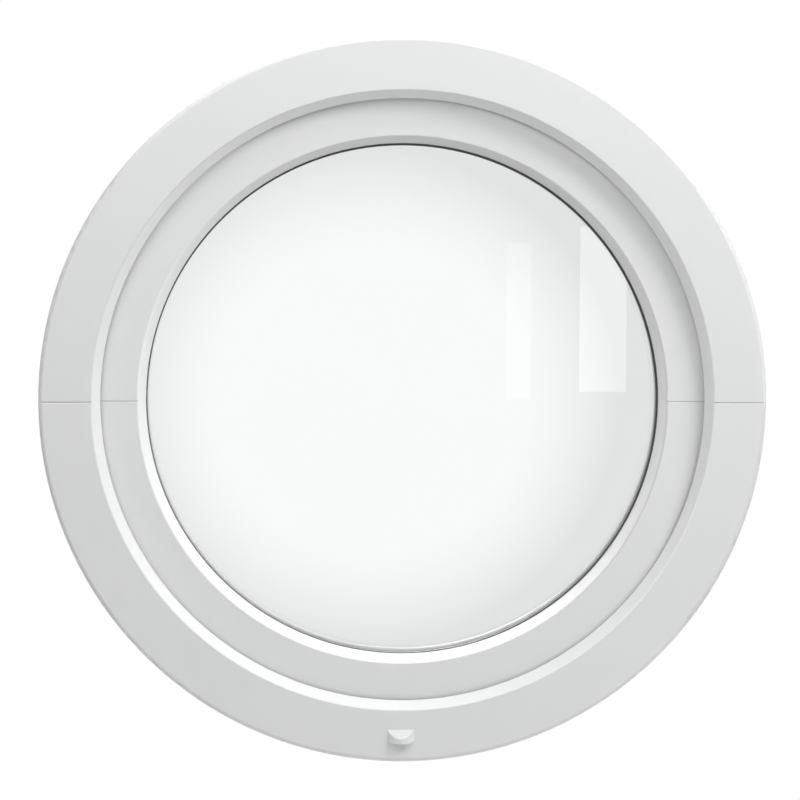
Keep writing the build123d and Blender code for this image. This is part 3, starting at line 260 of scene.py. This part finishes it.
def float_glass():
    """Clear float glass, faintly smeared, with painted shade that greys it towards the edge. Shadow
    rays pass through.
    """
    made = Finish("clear_glass", Transmission_Weight=1.0, IOR=1.5)
    smear = made.noise(made.place(), 9.0, detail=4.0)
    x, _, z = made.split(made.place())
    across = x - GLASS_CLEAR_X
    # Painted shade: the glass greys from its clear middle towards the ring, standing in for the
    # ring's darkened reflection and shade; the smear adds a little real streaking
    far = ((across * across + z * z) ** 0.5 - GLASS_CLEAR_R) / GLASS_SHADE_RUN
    edge_shade_and_smear = far.clamped(0.0, 1.0) ** 1.5 + 0.06 * smear
    made.set("Base Color", made.blend(edge_shade_and_smear, (0.972, 0.977, 0.975, 1), (0.868, 0.873, 0.871, 1)))
    made.set("Roughness", 0.004 * smear)
    lit = made.node("ShaderNodeBsdfTransparent", {}, Color=grey(GLASS_LIGHT))[0]
    made.mix_in(made.node("ShaderNodeLightPath", {})[IS_SHADOW], lit)
    return made.material


def rolled_aluminium():
    """Spacer bar: bright rolled aluminium with lines along it, and a row of breathing holes painted
    dark as painted shade.
    """
    made = Finish("bright_spacer", Metallic=1.0)
    x, y, z, radius = made.round_the_axis()
    turn = z.math("ARCTAN2", x) * (SPACER_HOLES / (2 * math.pi))
    from_hole = (turn.math("FRACT") - 0.5) * SPACER_HOLE_PITCH
    from_middle = y - SPACER_MIDDLE_Y
    from_centre = (from_hole * from_hole + from_middle * from_middle) ** 0.5
    painted_dark_hole = (made.near(from_centre, 0.0, SPACER_HOLE) * SPACER_HOLE_EDGE).clamped(0.0, 1.0)
    lines = made.noise(made.joined(radius, y, 0.0), 4000.0, detail=2.0)
    dull = made.noise(made.place(), 120.0)
    bright = made.blend(dull, (0.74, 0.75, 0.76, 1), (0.82, 0.825, 0.83, 1))
    # Painted shade: each breathing hole is painted near-black where its hollow would lie in shade
    made.set("Base Color", made.blend(painted_dark_hole, bright, grey(0.06)))
    made.set("Roughness", 0.28 + 0.15 * lines)
    made.set("Normal", made.bump(lines * 0.2 - painted_dark_hole, 0.0003))
    return made.material


def block_plastic():
    """Glazing blocks: coloured moulded plastic."""
    made = Finish("glazing_block", IOR=1.5)
    grain = made.noise(made.place(), 700.0, detail=2.0)
    made.set("Base Color", made.blend(grain, (0.09, 0.23, 0.47, 1), (0.12, 0.28, 0.54, 1)))
    made.set("Roughness", 0.45 + 0.15 * grain)
    made.set("Normal", made.bump(grain, 0.0001))
    return made.material


def sintered_metal():
    """Gear hub: pressed and sintered steel, greased."""
    made = Finish("sintered_steel", Metallic=1.0)
    pores = made.noise(made.place(), 2400.0, detail=3.0)
    grease = made.noise(made.place(), 160.0, detail=3.0)
    made.set("Base Color", made.blend(grease, (0.34, 0.335, 0.325, 1), (0.46, 0.46, 0.465, 1)))
    made.set("Roughness", 0.3 + 0.3 * grease)
    made.set("Normal", made.bump(pores, 0.00015))
    return made.material


def zinc(name, dark, light, base_roughness, cell_scale):
    """Zinc plating: faint spangle, drawn lines and a slightly uneven shine."""
    made = Finish(name, Metallic=1.0)
    cloud = made.noise(made.place(), cell_scale, detail=3.0)
    scratch = made.noise(made.place(), 1500.0, detail=2.0)
    made.set("Base Color", made.blend(cloud, dark, light))
    made.set("Roughness", base_roughness + 0.16 * cloud)
    made.set("Normal", made.bump(scratch, 0.00004))
    return made.material


finishes = {
    "white_profile": extruded_plastic(),
    "white_moulding": moulded_plastic(),
    "white_enamel": powder_coat(),
    "dark_gasket": rubber("dark_gasket", 0.1, 0.16),
    "edge_sealant": sealant(),
    "clear_glass": float_glass(),
    "bright_spacer": rolled_aluminium(),
    "glazing_block": block_plastic(),
    "sintered_steel": sintered_metal(),
    "bright_zinc": zinc("bright_zinc", (0.66, 0.68, 0.71, 1), (0.76, 0.775, 0.79, 1), 0.22, 90.0),
    "zinc_steel": zinc("zinc_steel", (0.55, 0.57, 0.6, 1), (0.67, 0.685, 0.7, 1), 0.32, 60.0),
}
# Painted shade: the frame seal is a near-black copy of the gasket rubber, which darkens the gap line
# under the frame's nose
frame_seal_painted_shade = rubber("shaded_gasket", 0.03, 0.05)
# Painted shade: the outer glazing gasket is a darker copy of the gasket rubber, which deepens the
# dark line at the glass's edge
glazing_seal_painted_shade = rubber("glazing_gasket", 0.06, 0.09)
# Painted light: the inner glazing gasket is a pale copy of the gasket rubber, which lifts the shade
# that shows through the glass
bead_seal_painted_light = rubber("bead_gasket_painted_light", 0.5, 0.58)
# Seals that take these lit and shaded copies of the gasket rubber in place of its own colour
seal_painted_light_and_shade = {
    "frame_seal": frame_seal_painted_shade,
    "outer_glazing_seal": glazing_seal_painted_shade,
    "inner_glazing_seal": bead_seal_painted_light,
}
for part in frame["record"]["subparts"]:
    node = nodes[part["node"]]
    node.data.materials.clear()
    node.data.materials.append(seal_painted_light_and_shade.get(part["node"], finishes[part["material_slot"]]))


def select_only(piece):
    bpy.ops.object.select_all(action="DESELECT")
    piece.select_set(True)
    bpy.context.view_layer.objects.active = piece


def edit(piece):
    select_only(piece)
    bpy.ops.object.mode_set(mode="EDIT")


def leave_edit():
    bpy.ops.object.mode_set(mode="OBJECT")


def place_in_mesh(piece):
    """Write the object's own place into its mesh, so that it sits at the origin."""
    select_only(piece)
    bpy.ops.object.transform_apply(location=True, rotation=True, scale=True)


# Glazing gaskets. The outer one sits a little low and to the left, and is painted darker as painted
# shade. The inner one is painted pale, a painted light that lifts the shade which would show as a
# dark band through the glass. Both lie about 1 mm nearer the outside than the CAD's seals.
GASKET_WIDTH = 0.0075
GASKET_EDGE_ROUND = 0.0011
GASKET_EDGE_SEGMENTS = 3
RING_STEPS = 180
WELD_APART = 0.00002
RING_SMOOTH = math.radians(35)


def glazing_gasket(name, node, finish, sight_radius, front, back, centre):
    """A soft ring with rounded edges: a plane that is bevelled and spun about the axis."""
    bpy.ops.object.select_all(action="DESELECT")
    middle = (sight_radius + GASKET_WIDTH / 2, (front + back) / 2, 0.0)
    bpy.ops.mesh.primitive_plane_add(size=1.0, location=middle)
    piece = bpy.context.object
    piece.name = name
    piece.scale = (GASKET_WIDTH, back - front, 1.0)
    place_in_mesh(piece)
    edit(piece)
    bpy.ops.mesh.select_all(action="SELECT")
    bpy.ops.mesh.bevel(offset=GASKET_EDGE_ROUND, segments=GASKET_EDGE_SEGMENTS, affect="VERTICES")
    bpy.ops.mesh.select_all(action="SELECT")
    bpy.ops.mesh.delete(type="ONLY_FACE")
    bpy.ops.mesh.select_all(action="SELECT")
    bpy.ops.mesh.spin(
        steps=RING_STEPS, angle=2 * math.pi, center=(0.0, 0.0, 0.0), axis=(0.0, 1.0, 0.0)
    )
    bpy.ops.mesh.select_all(action="SELECT")
    bpy.ops.mesh.remove_doubles(threshold=WELD_APART)
    bpy.ops.mesh.normals_make_consistent(inside=False)
    leave_edit()
    piece.location = (centre[0], 0.0, centre[1])
    place_in_mesh(piece)
    bpy.ops.object.shade_smooth_by_angle(angle=RING_SMOOTH)
    piece.data.materials.append(finish)
    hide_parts(node)
    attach(piece, "sash")


glazing_gasket(
    "glazing_gasket_outside", "outer_glazing_seal", glazing_seal_painted_shade,
    sight_radius=0.2824, front=0.0001, back=0.0034, centre=(-0.0006, -0.0008),
)
glazing_gasket(
    "glazing_gasket_inside", "inner_glazing_seal", bead_seal_painted_light,
    sight_radius=0.2842, front=0.0276, back=0.0304, centre=(0.0, 0.0),
)


# Countersunk screws with a cross recess: (head radius, shank radius, length)
LEAF_SCREW = (0.004, 0.002, 0.022)
PLATE_SCREW = (0.0033, 0.0017, 0.014)
HEAD_VERTICES = 20
SCREW_SMOOTH = math.radians(30)

# The tip's scale against the shank, and how far the cross is turned in its seat, in radians
TIP_SHARE = 0.1
SCREW_TURN = 0.4

# The recess's arm half-width, reach and depth as shares of the head radius, and its floor's scale
RECESS_ARM = 0.16
RECESS_REACH = 0.62
RECESS_DEPTH = 0.55
RECESS_TAPER = 0.45

LEVEL_TOLERANCE = 1e-6
SEAT_DECIMALS = 5


def pick_faces(piece, chosen):
    """Select, in edit mode, the faces whose middle the test accepts."""
    bpy.ops.mesh.select_all(action="DESELECT")
    mesh = bmesh.from_edit_mesh(piece.data)
    for face in mesh.faces:
        face.select_set(chosen(face.calc_center_median()))
    bmesh.update_edit_mesh(piece.data)


def pick_rim(piece, level):
    """Select, in edit mode, the open edges at one height."""
    bpy.ops.mesh.select_all(action="DESELECT")
    mesh = bmesh.from_edit_mesh(piece.data)
    for side in mesh.edges:
        is_open = len(side.link_faces) == 1
        at_level = all(abs(end.co.z - level) < LEVEL_TOLERANCE for end in side.verts)
        side.select_set(is_open and at_level)
    bmesh.update_edit_mesh(piece.data)


def cross_screw(head, shank, length):
    """A screw that points down from its head's top at the origin: recess, cone, shank and tip."""
    bpy.ops.object.select_all(action="DESELECT")
    bpy.ops.mesh.primitive_circle_add(vertices=HEAD_VERTICES, radius=head, fill_type="NGON")
    piece = bpy.context.object
    edit(piece)
    arm, reach = RECESS_ARM * head, RECESS_REACH * head
    for along in ((1, 0, 0), (0, 1, 0)):
        for offset in (-reach, -arm, arm, reach):
            bpy.ops.mesh.select_all(action="SELECT")
            bpy.ops.mesh.bisect(plane_co=Vector(along) * offset, plane_no=along)
    pick_faces(piece, lambda at: (
        min(abs(at.x), abs(at.y)) < arm and max(abs(at.x), abs(at.y)) < reach
    ))
    bpy.ops.mesh.extrude_region_move(
        TRANSFORM_OT_translate={"value": (0, 0, -RECESS_DEPTH * head)}
    )
    bpy.ops.transform.resize(value=(RECESS_TAPER, RECESS_TAPER, 1.0))
    level = 0.0
    cone, straight, tip = (head - shank, shank / head), (length - head, 1.0), (shank, TIP_SHARE)
    for drop, share in (cone, straight, tip):
        pick_rim(piece, level)
        bpy.ops.mesh.extrude_edges_move(TRANSFORM_OT_translate={"value": (0, 0, -drop)})
        bpy.ops.transform.resize(value=(share, share, 1.0))
        level -= drop
    bpy.ops.mesh.edge_face_add()
    bpy.ops.mesh.select_all(action="SELECT")
    bpy.ops.mesh.normals_make_consistent(inside=False)
    leave_edit()
    return piece


def screw_seats(node):
    """Where each screw of a CAD node sits: its head's middle, and the way that it points out."""
    solid = bmesh.new()
    solid.from_mesh(node.data)
    bmesh.ops.remove_doubles(solid, verts=solid.verts, dist=LEVEL_TOLERANCE)
    left = set(solid.verts)
    seats = []
    for start in solid.verts:
        if start not in left:
            continue
        left.discard(start)
        island, waiting = [], [start]
        while waiting:
            at = waiting.pop()
            island.append(at)
            for side in at.link_edges:
                other = side.other_vert(at)
                if other in left:
                    left.discard(other)
                    waiting.append(other)
        points = np.array([at.co[:] for at in island])
        middle = points.mean(axis=0)
        along = np.linalg.svd(points - middle, full_matrices=False)[2][0]
        run = (points - middle) @ along
        off = np.linalg.norm(points - middle - np.outer(run, along), axis=1)
        if off[run > 0].max() < off[run < 0].max():
            along, run = -along, -run
        seats.append((Vector(middle + along * run.max()), Vector(along)))
    solid.free()
    seats.sort(key=lambda seat: tuple(round(value, SEAT_DECIMALS) for value in seat[0]))
    return seats


def screw_group(node_name, model, body):
    """Copies of one modelled screw at the seats of a CAD node, joined as one piece."""
    copies = []
    for place, way in screw_seats(nodes[node_name]):
        copy = bpy.data.objects.new(node_name + "_cross", model.data.copy())
        bpy.context.scene.collection.objects.link(copy)
        turn = way.to_track_quat("Z", "Y").to_matrix().to_4x4()
        copy.data.transform(Matrix.Translation(place) @ turn @ Matrix.Rotation(SCREW_TURN, 4, "Z"))
        copies.append(copy)
    bpy.ops.object.select_all(action="DESELECT")
    for copy in copies:
        copy.select_set(True)
    piece = copies[0]
    bpy.context.view_layer.objects.active = piece
    bpy.ops.object.join()
    piece.name = node_name + "_cross"
    bpy.ops.object.shade_smooth_by_angle(angle=SCREW_SMOOTH)
    piece.data.materials.clear()
    piece.data.materials.append(finishes["bright_zinc"])
    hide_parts(node_name)
    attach(piece, body)


leaf_screw = cross_screw(*LEAF_SCREW)
plate_screw = cross_screw(*PLATE_SCREW)
for node_name, model, body in (
    ("hinge_screws_frame", leaf_screw, "frame"),
    ("hinge_screws_sash", leaf_screw, "sash"),
    ("faceplate_screws", plate_screw, "sash"),
    ("keep_screws", plate_screw, "frame"),
    ("stay_bracket_screws", plate_screw, "frame"),
    ("stay_rail_screws", plate_screw, "sash"),
):
    screw_group(node_name, model, body)
for model in (leaf_screw, plate_screw):
    bpy.data.objects.remove(model, do_unlink=True)

# Floor, below the window that a wall would hold
FLOOR_Z = -0.8
FLOOR_R = 9.0
FLOOR_VERTICES = 96

# The floor keeps its shadow within the first radius, and is plain white beyond the second
SHADOW_R = 0.75
PLAIN_WHITE_R = 1.15

# The white room: its strength as a light, and where it is seen, reflected or shines through
ROOM_LIGHT = 0.2
ROOM_SEEN = 1.0


def studio_white(name, near, far):
    """Pale ground that keeps the shadow near the window and is plain white further off."""
    made = Finish(name, Roughness=0.9, Specular_IOR_Level=0.1)
    made.shader.inputs["Base Color"].default_value = (0.9, 0.9, 0.9, 1)
    x, y, _ = made.split(made.place())
    away = (((x * x + y * y) ** 0.5 - near) / (far - near)).clamped(0.0, 1.0)
    ray = made.node("ShaderNodeLightPath", {})
    seen = (ray[IS_CAMERA] + ray[IS_GLOSSY] + ray[IS_TRANSMISSION]).clamped(0.0, 1.0)
    white = made.node("ShaderNodeEmission", {}, Color=grey(1.0), Strength=1.0)[0]
    made.mix_in(away * seen, white)
    return made.material


bpy.ops.object.select_all(action="DESELECT")
bpy.ops.mesh.primitive_circle_add(
    vertices=FLOOR_VERTICES, radius=FLOOR_R, fill_type="NGON", location=(0, 0, FLOOR_Z)
)
floor = bpy.context.object
floor.name = "floor"
floor.data.materials.append(studio_white("floor_white", SHADOW_R, PLAIN_WHITE_R))

world = bpy.data.worlds.new("studio")
bpy.context.scene.world = world
world.use_nodes = True
tree = world.node_tree
tree.nodes.clear()
ray = tree.nodes.new("ShaderNodeLightPath")
seen = tree.nodes.new("ShaderNodeMath")
seen.operation = "ADD"
tree.links.new(ray.outputs["Is Camera Ray"], seen.inputs[0])
tree.links.new(ray.outputs["Is Transmission Ray"], seen.inputs[1])
seen_too = tree.nodes.new("ShaderNodeMath")
seen_too.operation = "ADD"
seen_too.use_clamp = True
tree.links.new(seen.outputs[0], seen_too.inputs[0])
tree.links.new(ray.outputs["Is Glossy Ray"], seen_too.inputs[1])
soft = tree.nodes.new("ShaderNodeBackground")
soft.inputs["Color"].default_value = grey(1.0)
soft.inputs["Strength"].default_value = ROOM_LIGHT
white = tree.nodes.new("ShaderNodeBackground")
white.inputs["Color"].default_value = grey(1.0)
white.inputs["Strength"].default_value = ROOM_SEEN
either = tree.nodes.new("ShaderNodeMixShader")
out = tree.nodes.new("ShaderNodeOutputWorld")
tree.links.new(seen_too.outputs[0], either.inputs[0])
tree.links.new(soft.outputs[0], either.inputs[1])
tree.links.new(white.outputs[0], either.inputs[2])
tree.links.new(either.outputs[0], out.inputs[0])


def softbox(name, place, aim, width, height, power):
    light = bpy.data.lights.new(name, "AREA")
    light.shape = "RECTANGLE"
    light.size = width
    light.size_y = height
    light.energy = power
    lamp = bpy.data.objects.new(name, light)
    bpy.context.scene.collection.objects.link(lamp)
    lamp.location = place
    lamp.visible_camera = False
    lamp.rotation_euler = (Vector(aim) - Vector(place)).to_track_quat("-Z", "Y").to_euler()
    return lamp


# Square lamps that point at the window's middle: name, place, side and power
for name, place, side, power in (
    ("key_upper_right", (1.5, -0.9, 1.6), 0.7, 29.0),
    ("fill_upper_left", (-0.8, -1.1, 1.3), 0.7, 8.8),
    ("fill_right", (1.9, -1.4, 0.3), 0.7, 4.8),
    ("edge_top", (0.0, -0.3, 1.7), 0.7, 9.0),
    ("room_above", (-0.4, 2.4, 0.9), 0.9, 24.0),
):
    softbox(name, place, (0, 0, 0), side, side, power)

# Two panes of a bright window, which show only as reflections in the glass
BAND_Y = -2.2
for name, x, z, width, height, power in (
    ("window_band_narrow", 0.29, -0.042, 0.047, 0.3, 0.04),
    ("window_band_wide", 0.452, -0.018, 0.09, 0.317, 0.22),
):
    band = softbox(name, (x, BAND_Y, z), (x, 0, z), width, height, power)
    band.visible_transmission = False

# Camera: a little above the middle and to the left, as in the photograph
CAMERA_AZIMUTH = math.radians(-1.7)
CAMERA_ELEVATION = math.radians(5.0)
CAMERA_DISTANCE = 3.0
CAMERA_ROLL = math.radians(0.2)
CAMERA_LENS = 123.1
CAMERA_SENSOR = 36.0
aim = Vector((-0.0041, -0.035, 0.0034))
back = Vector((
    math.sin(CAMERA_AZIMUTH) * math.cos(CAMERA_ELEVATION),
    -math.cos(CAMERA_AZIMUTH) * math.cos(CAMERA_ELEVATION),
    math.sin(CAMERA_ELEVATION),
))
lens = bpy.data.cameras.new("camera")
lens.lens = CAMERA_LENS
lens.sensor_width = CAMERA_SENSOR
camera = bpy.data.objects.new("camera", lens)
bpy.context.scene.collection.objects.link(camera)
camera.location = aim + back * CAMERA_DISTANCE
turn = (-back).to_track_quat("-Z", "Y").to_matrix() @ Matrix.Rotation(CAMERA_ROLL, 3, "Z")
camera.rotation_euler = turn.to_euler()
bpy.context.scene.camera = camera

bpy.context.scene.view_settings.view_transform = "Standard"
